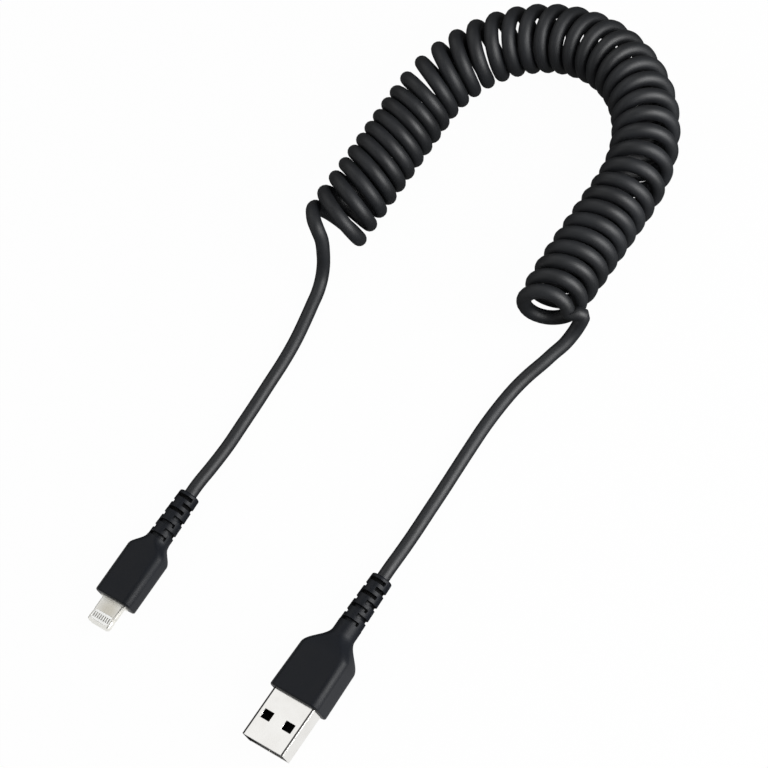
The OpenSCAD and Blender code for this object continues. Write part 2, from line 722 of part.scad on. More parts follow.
module tip_wire_shape(index, r) {
    wire(tip_wire_joint(index), wire_seat(tip_wire_seats[index], tip_block_back), r);
}

module tip_power_wire() { color([0.7, 0.1, 0.08]) in_tip_plug() tip_wire_shape(0, wire_r); }
module tip_ground_wire() { color([0.08, 0.08, 0.08]) in_tip_plug() tip_wire_shape(1, wire_r); }
module tip_data_plus_wire() { color([0.1, 0.5, 0.2]) in_tip_plug() tip_wire_shape(2, wire_r); }
module tip_data_minus_wire() { color([0.9, 0.9, 0.88]) in_tip_plug() tip_wire_shape(3, wire_r); }

module tip_inner_block() {
    color([0.82, 0.82, 0.8]) in_tip_plug() difference() {
        block(tip_block_w, tip_block_t, tip_block_front, tip_block_back);
        for (index = [0:3]) tip_wire_shape(index, wire_r + fit);
    }
}

module tip_crimp() { color([0.75, 0.75, 0.74]) in_tip_plug() crimp_ring(tip_block_back + fit); }

module tip_jacket_end() {
    color([0.1, 0.11, 0.12]) in_tip_plug() rod(cord_r, tip_block_back, tip_length);
}

module tip_overmould() {
    color([0.11, 0.12, 0.13]) in_tip_plug()
        overmould(tip_w, tip_w, tip_t, tip_edge_r, tip_shoulder_start, tip_neck, tip_length) {
            bar(collar_w + 2 * fit, collar_t + 2 * fit, frame_edge_r + fit, -over,
                frame_root / 2 + fit);
            block(frame_w + 2 * fit, frame_t + 2 * fit, 0, board_back_front);
            block(can_w + 2 * fit, can_t + 2 * fit, board_back_front - fit, tip_block_front);
            block(tip_block_w + 2 * fit, tip_block_t + 2 * fit, can_end, tip_block_back + fit);
            rod(crimp_r + fit, can_end, tip_block_back + crimp_l + 2 * fit);
        }
}

// ---- Cord ------------------------------------------------------------------------------------

module cord_stretch(route, sides) {
    color([0.11, 0.12, 0.13]) skin(tube_rings(route, cord_r, sides));
}

module tip_tail() { cord_stretch(tip_tail_route, tail_sides); }
module type_a_tail() { cord_stretch(type_a_tail_route, tail_sides); }
module curly_cord() { cord_stretch(curly_route, curl_sides); }

type_a_shell();
type_a_contact_carrier();
type_a_contact(0);  // type_a_power_contact
type_a_contact(1);  // type_a_data_minus_contact
type_a_contact(2);  // type_a_data_plus_contact
type_a_contact(3);  // type_a_ground_contact
type_a_power_wire();
type_a_data_minus_wire();
type_a_data_plus_wire();
type_a_ground_wire();
type_a_inner_block();
type_a_crimp();
type_a_jacket_end();
type_a_overmould();
tip_frame();
tip_insert();
tip_top_contacts();
tip_bottom_contacts();
tip_circuit_board();
tip_control_chip();
tip_capacitors();
tip_shield_can();
tip_power_wire();
tip_data_minus_wire();
tip_data_plus_wire();
tip_ground_wire();
tip_inner_block();
tip_crimp();
tip_jacket_end();
tip_overmould();
tip_tail();
curly_cord();
type_a_tail();
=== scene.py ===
"""Curly charging cable: a curly cord between a flat four-contact plug and a slim reversible plug.

Everything is in metres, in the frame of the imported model: +Z is up, and the cable lies on the
plane z = 0 with both plugs pointing along -Y.
"""

from __future__ import annotations

import json
import logging
import math
from dataclasses import dataclass, field
from enum import Enum
from typing import Any, Callable, Sequence

import bmesh
import bpy
from mathutils import Matrix, Vector


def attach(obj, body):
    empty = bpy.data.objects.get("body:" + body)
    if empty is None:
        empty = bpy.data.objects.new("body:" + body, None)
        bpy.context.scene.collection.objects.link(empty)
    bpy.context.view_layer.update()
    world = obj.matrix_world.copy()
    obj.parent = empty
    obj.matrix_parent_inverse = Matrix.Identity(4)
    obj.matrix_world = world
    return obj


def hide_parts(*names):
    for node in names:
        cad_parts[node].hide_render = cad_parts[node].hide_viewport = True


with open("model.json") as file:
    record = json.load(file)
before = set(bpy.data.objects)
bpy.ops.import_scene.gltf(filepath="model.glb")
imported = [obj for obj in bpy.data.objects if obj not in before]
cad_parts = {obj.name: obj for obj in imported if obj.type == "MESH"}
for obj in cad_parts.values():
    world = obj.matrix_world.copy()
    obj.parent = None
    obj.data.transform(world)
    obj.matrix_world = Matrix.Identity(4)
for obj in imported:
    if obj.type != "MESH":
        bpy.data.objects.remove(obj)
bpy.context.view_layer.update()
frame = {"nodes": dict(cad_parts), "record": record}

MM = 0.001
BODY = "root"
LOG = logging.getLogger("charging_cable")

Mesh = bmesh.types.BMesh
Socket = bpy.types.NodeSocket
Pair = tuple[float, float]
Point = tuple[float, float, float]
Display = tuple[int, int, int]
Colour = tuple[float, float, float]
Tint = Colour | Socket
Outline = Callable[[float], Pair]


# ---- Shader maths --------
class Value:
    """A number that runs through a material's nodes and takes Python's arithmetic."""

    def __init__(self, graph: "Graph", socket: Socket) -> None:
        """Wraps one output socket of a graph."""
        self.graph = graph
        self.socket = socket

    def __add__(self, other: "Number") -> "Value":
        """Self plus other."""
        return self.graph.maths("ADD", self, other)

    def __sub__(self, other: "Number") -> "Value":
        """Self minus other."""
        return self.graph.maths("SUBTRACT", self, other)

    def __rsub__(self, other: "Number") -> "Value":
        """Other minus self."""
        return self.graph.maths("SUBTRACT", other, self)

    def __mul__(self, other: "Number") -> "Value":
        """Self times other."""
        return self.graph.maths("MULTIPLY", self, other)

    __radd__ = __add__
    __rmul__ = __mul__

    def mixed(self, other: "Value", share: float) -> "Value":
        """Self with a share of other in it."""
        return self * (1.0 - share) + other * share

    def clear_of(self, low: float, high: float) -> "Value":
        """Self mapped from low..high to 0..1 along a smooth step.

        Args:
            low: The value that becomes 0.
            high: The value that becomes 1.

        Returns:
            The mapped value, kept within 0..1.
        """
        settings = {"interpolation_type": "SMOOTHSTEP"}
        inputs = {"Value": self, "From Min": low, "From Max": high}
        node = self.graph.node("MapRange", settings, inputs)
        return Value(self.graph, node.outputs["Result"])


Number = Value | float


class Graph:
    """The node tree of one material or of the world."""

    def __init__(self, owner: bpy.types.Material | bpy.types.World) -> None:
        """Empties the owner's node tree and takes it over.

        Args:
            owner: The material or the world whose nodes are written.
        """
        owner.use_nodes = True
        self.tree = owner.node_tree
        self.tree.nodes.clear()

    def node(self, kind: str, settings: dict[str, Any] | None = None,
             inputs: dict[Any, Any] | None = None) -> bpy.types.Node:
        """Makes one node of any type.

        Args:
            kind: The node's type, as it reads after ShaderNode.
            settings: The node's own properties, which are set before its sockets.
            inputs: A value, a Value or an output socket for each input, by name or number.

        Returns:
            The new node.
        """
        node = self.tree.nodes.new("ShaderNode" + kind)
        for key, setting in (settings or {}).items():
            setattr(node, key, setting)
        for key, entry in (inputs or {}).items():
            if isinstance(entry, Value):
                entry = entry.socket
            if isinstance(entry, Socket):
                self.tree.links.new(entry, node.inputs[key])
            else:
                node.inputs[key].default_value = entry
        return node

    def maths(self, operation: str, *values: Number) -> Value:
        """One Math node on one or two numbers."""
        node = self.node("Math", {"operation": operation}, dict(enumerate(values)))
        return Value(self, node.outputs[0])

    def coordinates(self, stretch: Point = (1.0, 1.0, 1.0)) -> Socket:
        """The piece's own coordinates, times a stretch along X, Y and Z."""
        inputs = {"Vector": self.node("TexCoord").outputs["Object"], "Scale": stretch}
        return self.node("Mapping", None, inputs).outputs["Vector"]

    def noise(self, place: Socket, size: float, detail: float = 2.0) -> Value:
        """Noise round 0.5, with clouds of a width in metres and some finer layers."""
        inputs = {"Vector": place, "Scale": 1.0 / size, "Detail": detail}
        return Value(self, self.node("TexNoise", None, inputs).outputs["Fac"])

    def cells(self, place: Socket, size: float) -> Value:
        """Distance to the nearest of many scattered points, for pits and grain."""
        inputs = {"Vector": place, "Scale": 1.0 / size}
        return Value(self, self.node("TexVoronoi", None, inputs).outputs["Distance"])

    def cosine(self, place: Socket, direction: Point) -> Value:
        """Share of a place or of a ray that lies along a direction of length 1."""
        node = self.node("VectorMath", {"operation": "DOT_PRODUCT"},
                         {0: place, 1: direction})
        return Value(self, node.outputs["Value"])

    def distance(self, place: Socket, centre: Point) -> Value:
        """Distance of a place from a point."""
        node = self.node("VectorMath", {"operation": "DISTANCE"}, {0: place, 1: centre})
        return Value(self, node.outputs["Value"])

    def attribute(self, name: str) -> Value:
        """Number that the mesh carries for each of its points."""
        settings = {"attribute_type": "GEOMETRY", "attribute_name": name}
        return Value(self, self.node("Attribute", settings).outputs["Fac"])

    def grey(self, level: Number) -> Socket:
        """Grey of a level from 0 for black to 1 for white."""
        return self.blend(level, (0.0, 0.0, 0.0), (1.0, 1.0, 1.0))

    def blend(self, share: Number, first: Tint, second: Tint) -> Socket:
        """Colour between two colours.

        Args:
            share: 0 for the first colour and 1 for the second.
            first: The first colour, linear, or a socket that carries one.
            second: The second colour, linear, or a socket that carries one.

        Returns:
            The socket with the colour.
        """
        ends = [(*tint, 1.0) if isinstance(tint, tuple) else tint for tint in (first, second)]
        # A Mix node's colours go in at 6 and 7 and come out at 2.
        inputs = {0: share, 6: ends[0], 7: ends[1]}
        return self.node("Mix", {"data_type": "RGBA"}, inputs).outputs[2]

    def bump(self, height: Number, depth: float) -> Socket:
        """Normal of a surface that rises by depth where height is 1."""
        inputs = {"Height": height, "Strength": 1.0, "Distance": depth}
        return self.node("Bump", None, inputs).outputs["Normal"]

    def surface(self, inputs: dict[str, Any]) -> None:
        """Ends a material in one Principled shader with these inputs."""
        shader = self.node("BsdfPrincipled", None, inputs)
        self.node("OutputMaterial", None, {"Surface": shader.outputs[0]})


# ---- Finishes ------------
def linear(display: Display) -> Colour:
    """Linear colour from the three numbers, 0 to 255, of a display colour."""
    shares = [number / 255 for number in display]
    return tuple(s / 12.92 if s <= 0.04045 else ((s + 0.055) / 1.055) ** 2.4 for s in shares)


GROOVE = "groove"
GROOVE_DEPTHS = (0.04, 0.16)
# painted shade: near-black laid into the strain relief's slots, where shade falls
GROOVE_PAINTED_SHADE = linear((2, 2, 3))
WAVE_RATE = 20.0  # radians a metre in the wave texture, at a scale of 1


@dataclass(frozen=True)
class Moulded:
    """Moulded plastic or rubber: a mottled colour, an uneven gloss, a fine grain and, where asked,
    painted shade in its grooves.
    """

    dark: Display
    light: Display
    roughness: Pair
    grain: float = 0.35 * MM
    depth: float = 0.006 * MM
    specular: float = 0.5
    clouds: float = 9 * MM
    scatter: float = 0.0
    scatter_depth: float = 0.5 * MM
    shaded_grooves: bool = False
    grain_in_colour: float = 0.3
    grain_in_gloss: float = 0.4
    contrast: Pair = (0.3, 0.7)

    def paint(self, graph: Graph) -> None:
        """Lays the finish's nodes in an empty graph."""
        place = graph.coordinates()
        mottle = graph.noise(place, self.clouds, detail=3.0)
        grain = graph.noise(place, self.grain)
        smooth, rough = self.roughness
        lighter = mottle.mixed(grain, self.grain_in_colour).clear_of(*self.contrast)
        rougher = mottle.mixed(grain, self.grain_in_gloss).clear_of(*self.contrast)
        colour = graph.blend(lighter, linear(self.dark), linear(self.light))
        gloss = smooth + (rough - smooth) * rougher
        # painted shade: the slots grow darker and rougher with their depth
        if self.shaded_grooves:
            inside = graph.attribute(GROOVE).clear_of(*GROOVE_DEPTHS)
            colour = graph.blend(inside, colour, GROOVE_PAINTED_SHADE)
            gloss = gloss + (1.0 - gloss) * inside
        graph.surface({
            "Base Color": colour,
            "Roughness": gloss,
            "Specular IOR Level": self.specular,
            "Subsurface Weight": self.scatter,
            "Subsurface Scale": self.scatter_depth,
            "Normal": graph.bump(grain, self.depth),
        })


@dataclass(frozen=True)
class Metal:
    """Rolled or plated metal: faint lines along the rolling, soft stains and small pits."""

    colour: Display
    stain: Display
    roughness: Pair
    rolling: Point = (1.0, 0.04, 1.0)
    line: float = 0.08 * MM
    depth: float = 0.001 * MM
    stain_size: float = 4 * MM
    pit_spacing: float = 0.5 * MM
    pit_edge: float = 0.12
    lines_in_colour: float = 0.3
    lines_in_gloss: float = 0.5
    pits_in_relief: float = 0.4
    colour_contrast: Pair = (0.4, 0.8)
    gloss_contrast: Pair = (0.3, 0.7)

    def tint(self, graph: Graph, stains: Value) -> Socket:
        """The metal's colour where stains goes from 0 to 1."""
        return graph.blend(stains, linear(self.colour), linear(self.stain))

    def paint(self, graph: Graph) -> None:
        """Lays the finish's nodes in an empty graph."""
        lines = graph.noise(graph.coordinates(self.rolling), self.line, detail=3.0)
        stains = graph.noise(graph.coordinates(), self.stain_size, detail=4.0)
        pits = graph.cells(graph.coordinates(), self.pit_spacing).clear_of(0.0, self.pit_edge)
        smooth, rough = self.roughness
        stained = stains.mixed(lines, self.lines_in_colour).clear_of(*self.colour_contrast)
        rougher = stains.mixed(lines, self.lines_in_gloss).clear_of(*self.gloss_contrast)
        graph.surface({
            "Base Color": self.tint(graph, stained),
            "Metallic": 1.0,
            "Roughness": smooth + (rough - smooth) * rougher,
            "Normal": graph.bump(lines.mixed(pits, self.pits_in_relief), self.depth),
        })


@dataclass(frozen=True)
class Plated(Metal):
    """Metal that is plated at the front, where the contacts touch, and painted near black behind
    as shade under the shell's windows.
    """

    # painted shade: near-black in place of the bare metal, so contacts seen through the shell's
    # windows look unlit
    painted_shade_behind: Colour = (0.02, 0.018, 0.016)
    plated_to: float = -18.2 * MM
    fade: float = 0.3 * MM

    def tint(self, graph: Graph, stains: Value) -> Socket:
        """The plating's colour in front of the line and the painted shade behind it."""
        along = graph.cosine(graph.coordinates(), (0.0, 1.0, 0.0))
        behind = along.clear_of(self.plated_to, self.plated_to + self.fade)
        return graph.blend(behind, super().tint(graph, stains), self.painted_shade_behind)


@dataclass(frozen=True)
class FoldReflectionsPainted(Metal):
    """Sheet metal with a dark reflection painted along its folds."""

    # painted reflection: near-black bands along the folds stand in for the dark surroundings
    # mirrored there
    painted_fold_reflection: Colour = (0.06, 0.059, 0.057)
    middle: float = 26.7 * MM
    left: Pair = (5.24 * MM, 5.93 * MM)
    right: Pair = (5.58 * MM, 5.87 * MM)
    blur: float = 0.05 * MM

    def band(self, across: Value, start: float, end: float) -> Value:
        """1 between start and end, and 0 outside them."""
        return across.clear_of(start, start + self.blur) - across.clear_of(end, end + self.blur)

    def tint(self, graph: Graph, stains: Value) -> Socket:
        """The metal's colour, and the painted dark reflection along the folds."""
        across = graph.cosine(graph.coordinates(), (1.0, 0.0, 0.0)) - self.middle
        # where the bands fall, the painted reflection takes the place of the metal's colour
        folds = self.band(0.0 - across, *self.left) + self.band(across, *self.right)
        return graph.blend(folds, super().tint(graph, stains), self.painted_fold_reflection)


@dataclass(frozen=True)
class ReflectionPatched(Metal):
    """Polished metal with a darker round patch painted in as a reflection."""

    # painted reflection: a darker patch on the frame's top stands in for the dimmer surroundings
    # it mirrors
    reflection_patch: Colour = (0.72, 0.69, 0.61)
    centre: Point = (-28.2 * MM, -13.9 * MM, 3.6 * MM)
    inner: float = 0.6 * MM
    outer: float = 3.9 * MM

    def tint(self, graph: Graph, stains: Value) -> Socket:
        """The metal's colour, and the painted reflection patch round its centre."""
        away = graph.distance(graph.coordinates(), self.centre).clear_of(self.inner, self.outer)
        return graph.blend(away, self.reflection_patch, super().tint(graph, stains))


@dataclass(frozen=True)
class Laminate:
    """Circuit board: solder mask over fine copper tracks."""

    mask: Display
    track: Display
    pitch: float = 0.9 * math.pi * MM
    wander: float = 1.5
    track_edge: Pair = (0.55, 0.6)
    track_shows: float = 0.5
    weave: float = 0.1 * MM
    weave_shows: float = 0.2
    roughness: Pair = (0.3, 0.45)
    depth: float = 0.01 * MM

    def paint(self, graph: Graph) -> None:
        """Lays the finish's nodes in an empty graph."""
        place = graph.coordinates()
        settings = {"wave_type": "BANDS", "bands_direction": "X"}
        inputs = {"Vector": place, "Scale": 2 * math.pi / (WAVE_RATE * self.pitch),
                  "Distortion": self.wander}
        wave = graph.node("TexWave", settings, inputs).outputs["Fac"]
        tracks = Value(graph, wave).clear_of(*self.track_edge)
        weave = graph.noise(place, self.weave)
        smooth, rough = self.roughness
        graph.surface({
            "Base Color": graph.blend(tracks * self.track_shows + weave * self.weave_shows,
                                      linear(self.mask), linear(self.track)),
            "Roughness": smooth + (rough - smooth) * weave,
            "Normal": graph.bump(tracks, self.depth),
        })


Finish = Moulded | Metal | Laminate

WIRE_GLOSS = (0.3, 0.42)

FINISHES: dict[str, Finish] = {
    "cord_black": Moulded((11, 13, 16), (17, 20, 25), (0.5, 0.63), grain=0.25 * MM,
                          specular=0.64),
    "overmould_black": Moulded((9, 12, 18), (12, 16, 23), (0.46, 0.58), grain=0.22 * MM,
                               # the grip's slots carry painted shade
                               depth=0.008 * MM, specular=0.28, shaded_grooves=True),
    "carrier_black": Moulded((8, 8, 9), (13, 13, 14), (0.5, 0.65), specular=0.2),
    # the shell's dark fold lines are a painted reflection
    "shell_nickel": FoldReflectionsPainted((242, 241, 238), (234, 232, 228), (0.12, 0.2)),
    # the tip frame's darker patch is a painted reflection
    "frame_steel": ReflectionPatched((246, 245, 240), (238, 236, 229), (0.36, 0.46)),
    "contact_gold": Plated((226, 190, 118), (196, 158, 92), (0.18, 0.3)),
    "contact_plated": Metal((186, 184, 179), (166, 164, 159), (0.45, 0.6)),
    "tinned_steel": Metal((206, 206, 204), (178, 178, 176), (0.3, 0.45)),
    "insert_white": Moulded((248, 248, 245), (254, 254, 252), (0.35, 0.48), depth=0.002 * MM),
    "block_natural": Moulded((206, 204, 196), (224, 222, 214), (0.4, 0.55), scatter=0.15),
    "wire_red": Moulded((168, 26, 20), (196, 38, 30), WIRE_GLOSS),
    "wire_white": Moulded((222, 222, 216), (240, 240, 236), WIRE_GLOSS),
    "wire_green": Moulded((22, 112, 46), (34, 138, 60), WIRE_GLOSS),
    "wire_black": Moulded((18, 18, 20), (28, 28, 30), WIRE_GLOSS),
    "board_green": Laminate((12, 74, 42), (44, 120, 70)),
    "chip_black": Moulded((18, 18, 19), (30, 30, 31), (0.5, 0.65)),
    "capacitor_tan": Moulded((150, 118, 84), (176, 142, 104), (0.4, 0.5)),
}


def placed(name: str, data: bpy.types.ID) -> bpy.types.Object:
    """New object of some data, in the scene."""
    item = bpy.data.objects.new(name, data)
    bpy.context.scene.collection.objects.link(item)
    return item


def baked(name: str, mesh: Mesh) -> bpy.types.Mesh:
    """Mesh data made of a bmesh, which is freed."""
    data = bpy.data.meshes.new(name)
    mesh.to_mesh(data)
    mesh.free()
    return data


@dataclass
class Workshop:
    """Turns meshes into pieces that ride on the body and carry their finish."""

    crease: float = math.radians(35)
    materials: dict[str, bpy.types.Material] = field(default_factory=dict)

    def material(self, slot: str) -> bpy.types.Material:
        """The material of a slot, built once."""
        if slot not in self.materials:
            self.materials[slot] = bpy.data.materials.new(slot)
            FINISHES[slot].paint(Graph(self.materials[slot]))
        return self.materials[slot]

    def finish_piece(self, piece: bpy.types.Object, slot: str, nodes: Sequence[str]) -> None:
        """Dresses a piece, lets it ride, and names what it stands for.

        Args:
            piece: The piece, already in the scene.
            slot: The material slot that it takes its finish from.
            nodes: The CAD nodes that it replaces.
        """
        piece.data.materials.clear()
        piece.data.materials.append(self.material(slot))
        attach(piece, BODY)
        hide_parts(*nodes)
        LOG.info("%s stands for %s", piece.name, ", ".join(nodes))

    def make(self, mesh: Mesh, name: str, slot: str, nodes: Sequence[str]) -> bpy.types.Object:
        """Makes a piece of a finished bmesh, which is freed.

        Args:
            mesh: The shape, in the shared frame.
            name: The piece's name.
            slot: The material slot that it takes its finish from.
            nodes: The CAD nodes that it replaces.

        Returns:
            The new object.
        """
        data = baked(name, mesh)
        data.shade_smooth()
        data.set_sharp_from_angle(angle=self.crease)
        piece = placed(name, data)
        weighted = piece.modifiers.new("weighted_normals", "WEIGHTED_NORMAL")
        weighted.keep_sharp = True
        self.finish_piece(piece, slot, nodes)
        return piece

    def dress_frame(self) -> None:
        """Gives every CAD node that still shows the finish of its slot."""
        for part in frame["record"]["subparts"]:
            node = frame["nodes"][part["node"]]
            if not node.hide_render:
                node.data.materials.clear()
                node.data.materials.append(self.material(part["material_slot"]))
                LOG.info("%s keeps its CAD shape", part["node"])


# ---- Cord ----------------
def ease(share: float) -> float:
    """Smooth step of a share from 0 to 1."""
    return share * share * (3 - 2 * share)


def clamp(value: float, low: float, high: float) -> float:
    """Value kept within low and high."""
    return min(max(value, low), high)


@dataclass
class CurlyCord:
    """The whole cord between the plugs: two tails and the curls that stand in an arch.

    The curls are counted from the start of the arch: below 0 on the tip plug's side, and past
    arch_curls on the type A plug's side.
    """

    diameter: float = 3.1 * MM
    curl_diameter: float = 3.4 * MM
    route_diameter: float = 3.0 * MM
    length: float = 1.745
    curl_radius: float = 6.4 * MM
    tip_side_curls: float = 9.5
    arch_curls: float = 21.2
    type_a_side_curls: float = 8.3
    tip_side_pitch: float = 3.56 * MM
    type_a_side_pitch: float = 3.8 * MM
    arch_tip_x: float = -35.5 * MM
    arch_radius: float = 29.8 * MM
    arch_start_y: float = 125.8 * MM
    arch_start_lean: float = -8.0
    arch_end_lean: float = 18.0
    arch_end_tilt: float = 6.0
    end_leans: Pair = (-12.0, 8.5)
    end_tilts: Pair = (18.0, 9.0)
    end_shifts: Pair = (-2.7 * MM, 1.3 * MM)
    end_widenings: Pair = (0.4 * MM, -0.65 * MM)
    lean_power: float = 2.0
    loose_power: float = 6.0
    points_a_curl: int = 32
    spacing: float = 1.2 * MM
    section_detail: int = 6
    tip_tail_route: tuple[Point, ...] = (
        (-28.7, 18.6, 2.9), (-28.7, 21.6, 2.9), (-28.6, 27, 2.4), (-28.8, 33, 1.7),
        (-29.1, 39, 1.5), (-29.3, 45, 1.5), (-29.6, 51, 1.5), (-29.9, 57, 1.5), (-30.6, 63, 1.5),
        (-31.9, 69.4, 1.5))
    curls_in_route: tuple[Point, ...] = (
        (-32.6, 72.4, 1.5), (-33.3, 75.4, 1.5), (-34, 78.4, 2.3), (-34.2, 80.9, 4.6),
        (-34, 82.7, 8), (-34.3, 84.3, 10.9), (-35.2, 85.4, 13.5), (-37.1, 86.9, 14.2),
        (-39.4, 89.1, 13.4), (-41.1, 90.8, 11))
    curls_out_route: tuple[Point, ...] = (
        (31.8, 96.9, 5.9), (30.9, 95, 3.2), (30.1, 92.6, 1.9), (29.5, 90.1, 1.5),
        (28.6, 87.3, 1.5))
    type_a_tail_route: tuple[Point, ...] = (
        (27.8, 84.4, 1.5), (26.4, 80, 1.5), (25.5, 76, 1.5), (24.9, 71, 1.5), (24.6, 65, 1.5),
        (24.7, 59, 1.5), (24.9, 53, 1.5), (25.1, 47.5, 1.5), (25.4, 42, 1.8), (25.9, 36.5, 2.4),
        (26.4, 31, 3.2), (26.7, 25.8, 3.9), (26.7, 22.8, 3.9))

    def arch_share(self, turns: float) -> float:
        """Eased share of the arch that lies behind after some turns."""
        return ease(clamp(turns / self.arch_curls, 0.0, 1.0))

    def at_ends(self, turns: float, ends: Pair, power: float) -> float:
        """Value that grows from nothing beside the arch to its full size at each end.

        Args:
            turns: Curls counted from the start of the arch.
            ends: The full size at the tip plug's end and at the type A plug's end.
            power: How late along a side the value grows.

        Returns:
            The value after these turns.
        """
        before = max(-turns, 0.0) / self.tip_side_curls
        after = max(turns - self.arch_curls, 0.0) / self.type_a_side_curls
        return ends[0] * before ** power + ends[1] * after ** power

    def advance(self, turns: float) -> float:
        """Distance along the middle of the curls after some turns, from the arch's start."""
        half_circle = math.pi * self.arch_radius
        if turns < 0:
            along = self.tip_side_pitch * turns
        elif turns <= self.arch_curls:
            along = half_circle * turns / self.arch_curls
        else:
            along = half_circle + self.type_a_side_pitch * (turns - self.arch_curls)
        return along + self.at_ends(turns, self.end_shifts, self.loose_power)

    def lean(self, turns: float) -> float:
        """Lean of a curl's plane about the Z axis after some turns, in degrees."""
        span = self.arch_end_lean - self.arch_start_lean
        return (self.arch_start_lean + span * self.arch_share(turns)
                + self.at_ends(turns, self.end_leans, self.lean_power))

    def tilt(self, turns: float) -> float:
        """Tilt of a curl's plane back towards the tip plug after some turns, in degrees."""
        return (self.arch_end_tilt * self.arch_share(turns)
                + self.at_ends(turns, self.end_tilts, self.loose_power))

    def curl_point(self, turns: float) -> Vector:
        """Point of the cord's middle line after some turns.

        Args:
            turns: Curls counted from the start of the arch.

        Returns:
            The point in metres, with the cord's radius as a fourth number.
        """
        along = self.advance(turns)
        arch = clamp(along / self.arch_radius, 0.0, math.pi)
        straight = min(along, 0.0) - max(along - math.pi * self.arch_radius, 0.0)
        middle_x = self.arch_tip_x + self.arch_radius * (1 - math.cos(arch))
        middle_y = self.arch_start_y + self.arch_radius * math.sin(arch) + straight
        heading = arch - math.radians(self.lean(turns))
        radius = self.curl_radius + self.at_ends(turns, self.end_widenings, self.loose_power)
        turn = 2 * math.pi * (turns + self.tip_side_curls) + math.pi / 2
        side = radius * math.sin(turn)
        rise = radius * math.cos(turn)
        shift = -rise * math.tan(math.radians(self.tilt(turns)))
        return Vector((middle_x - side * math.cos(heading) + shift * math.sin(arch),
                       middle_y + side * math.sin(heading) + shift * math.cos(arch),
                       self.curl_diameter / 2 + radius + rise, self.curl_diameter / 2))

    def smooth(self, points: Sequence[Vector]) -> list[Vector]:
        """Centripetal curve through points, left as they are where they already lie close.

        Args:
            points: The points that the curve passes.

        Returns:
            The points of the curve, no further apart than the spacing.
        """
        curve: list[Vector] = []
        for i in range(len(points) - 1):
            p1, p2 = points[i], points[i + 1]
            p0 = points[i - 1] if i else p1 * 2 - p2
            p3 = points[i + 2] if i + 2 < len(points) else p2 * 2 - p1
            t1 = (p1 - p0).length ** 0.5
            t2 = t1 + (p2 - p1).length ** 0.5
            t3 = t2 + (p3 - p2).length ** 0.5
            steps = max(1, math.ceil((p2 - p1).length / self.spacing))
            for step in range(steps):
                t = t1 + (t2 - t1) * step / steps
                a1 = p0.lerp(p1, t / t1)
                a2 = p1.lerp(p2, (t - t1) / (t2 - t1))
                a3 = p2.lerp(p3, (t - t2) / (t3 - t2))
                b1 = a1.lerp(a2, t / t2)
                b2 = a2.lerp(a3, (t - t1) / (t3 - t1))
                curve.append(b1.lerp(b2, (t - t1) / (t2 - t1)))
        curve.append(points[-1])
        return curve

    def laid(self, route: Sequence[Point], first: float, last: float) -> list[Vector]:
        """Points of a route, lifted by what the cord is thicker than the route's own cord.

        Args:
            route: The points, in millimetres, for a cord of the route's diameter.
            first: The cord's diameter at the first point.
            last: The cord's diameter at the last point.

        Returns:
            The points in metres, each with the cord's radius there as a fourth number.
        """
        points = []
        for i, (x, y, z) in enumerate(route):
            radius = (first + (last - first) * ease(i / (len(route) - 1))) / 2
            points.append(Vector((x * MM, y * MM, z * MM + radius - self.route_diameter / 2,
                                  radius)))
        return points

    def middle_line(self) -> list[Vector]:
        """The cord's middle line from the tip plug to the type A plug, with its radius."""
        curls = self.tip_side_curls + self.arch_curls + self.type_a_side_curls
        count = round(curls * self.points_a_curl)
        turning = [self.curl_point(i / self.points_a_curl - self.tip_side_curls)
                   for i in range(count + 1)]
        return self.smooth([
            *self.laid(self.tip_tail_route, self.diameter, self.diameter),
            *self.laid(self.curls_in_route, self.diameter, self.curl_diameter),
            *turning,
            *self.laid(self.curls_out_route, self.curl_diameter, self.diameter),
            *self.laid(self.type_a_tail_route, self.diameter, self.diameter)])

    def build(self, workshop: Workshop) -> None:
        """Args:
            workshop: Dresses the piece.
        """
        line = self.middle_line()
        data = bpy.data.curves.new("cord", "CURVE")
        data.dimensions = "3D"
        data.bevel_depth = self.diameter / 2
        data.bevel_resolution = self.section_detail
        data.use_fill_caps = True
        spline = data.splines.new("POLY")
        spline.points.add(len(line) - 1)
        for point, place in zip(spline.points, line):
            point.co = (*place.xyz, 1.0)
            point.radius = place.w / data.bevel_depth
        spline.use_smooth = True
        piece = placed("cord", data)
        workshop.finish_piece(piece, "cord_black", ["tip_tail", "curly_cord", "type_a_tail"])


# ---- Mouldings -----------
NEAR = 1e-6  # a difference that counts as none, in metres or of a sine


class SlotSide(Enum):
    """Which pair of sides a level of the strain relief is slotted on."""

    TOP_AND_BOTTOM = math.pi / 2
    LEFT_AND_RIGHT = 0.0


def extruded(mesh: Mesh, edges: list[bmesh.types.BMEdge],
             ) -> tuple[list[bmesh.types.BMVert], list[bmesh.types.BMEdge]]:
    """Extrudes a row of edges, still in place.

    Args:
        mesh: The mesh that they belong to.
        edges: The row of edges.

    Returns:
        The points and the edges of the new row.
    """
    geom = bmesh.ops.extrude_edge_only(mesh, edges=edges)["geom"]
    verts = [item for item in geom if isinstance(item, bmesh.types.BMVert)]
    ends = set(verts)
    row = [item for item in geom
           if isinstance(item, bmesh.types.BMEdge) and set(item.verts) <= ends]
    return verts, row


